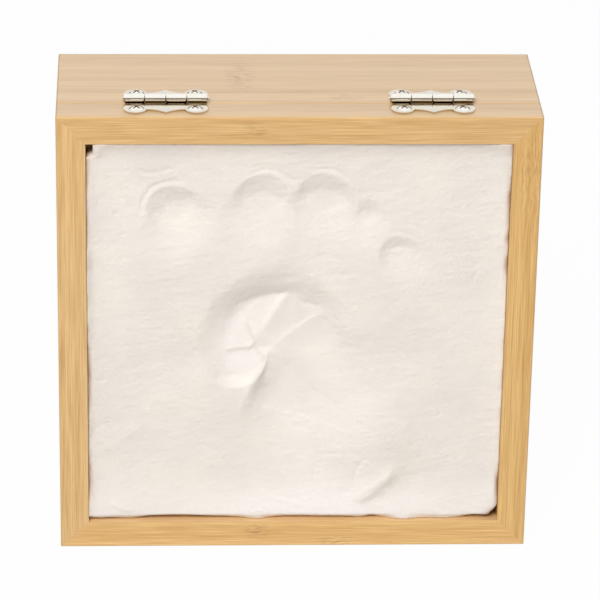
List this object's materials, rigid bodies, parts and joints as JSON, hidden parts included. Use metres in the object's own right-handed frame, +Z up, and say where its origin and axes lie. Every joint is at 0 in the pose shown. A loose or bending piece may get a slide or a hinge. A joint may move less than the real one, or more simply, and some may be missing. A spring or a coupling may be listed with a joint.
{
  "type": "plaster imprint keepsake box",
  "caption": "Square bamboo keepsake box that stands on edge, with a hinged front lid that frames a plaster slab holding the print of a small foot.",
  "frame": {"origin": "middle of the box's depth and width, on the bottom face that it stands on", "axes": "+Z up, the lid and its print face -Y, +X to the right of someone who looks at the print"},
  "size_m": [0.165, 0.0584, 0.1683],
  "materials": {
    "bamboo": "satin",
    "bamboo_panel": "satin",
    "plaster": "matte",
    "nickel": "polished",
    "magnet": "satin"
  },
  "bodies": {
    "box_body": {"body_top_board": "bamboo", "body_bottom_board": "bamboo", "body_left_board": "bamboo", "body_right_board": "bamboo", "back_panel": "bamboo_panel", "left_hinge_rear_leaf": "nickel", "left_hinge_pin": "nickel", "right_hinge_rear_leaf": "nickel", "right_hinge_pin": "nickel", "body_hinge_screws": "nickel", "body_magnets": "magnet"},
    "lid": {"lid_top_rail": "bamboo", "lid_bottom_rail": "bamboo", "lid_left_rail": "bamboo", "lid_right_rail": "bamboo", "lid_backing_panel": "bamboo_panel", "plaster_imprint": "plaster", "left_hinge_front_leaf": "nickel", "right_hinge_front_leaf": "nickel", "lid_hinge_screws": "nickel", "lid_magnets": "magnet"}
  },
  "joints": [
    {"name": "lid_hinge", "type": "hinge", "parent": "box_body", "child": "lid", "pos_m": [0, -0.01665, 0.16675], "axis": [-1, 0, 0], "range_deg": [0, 180]}
  ]
}
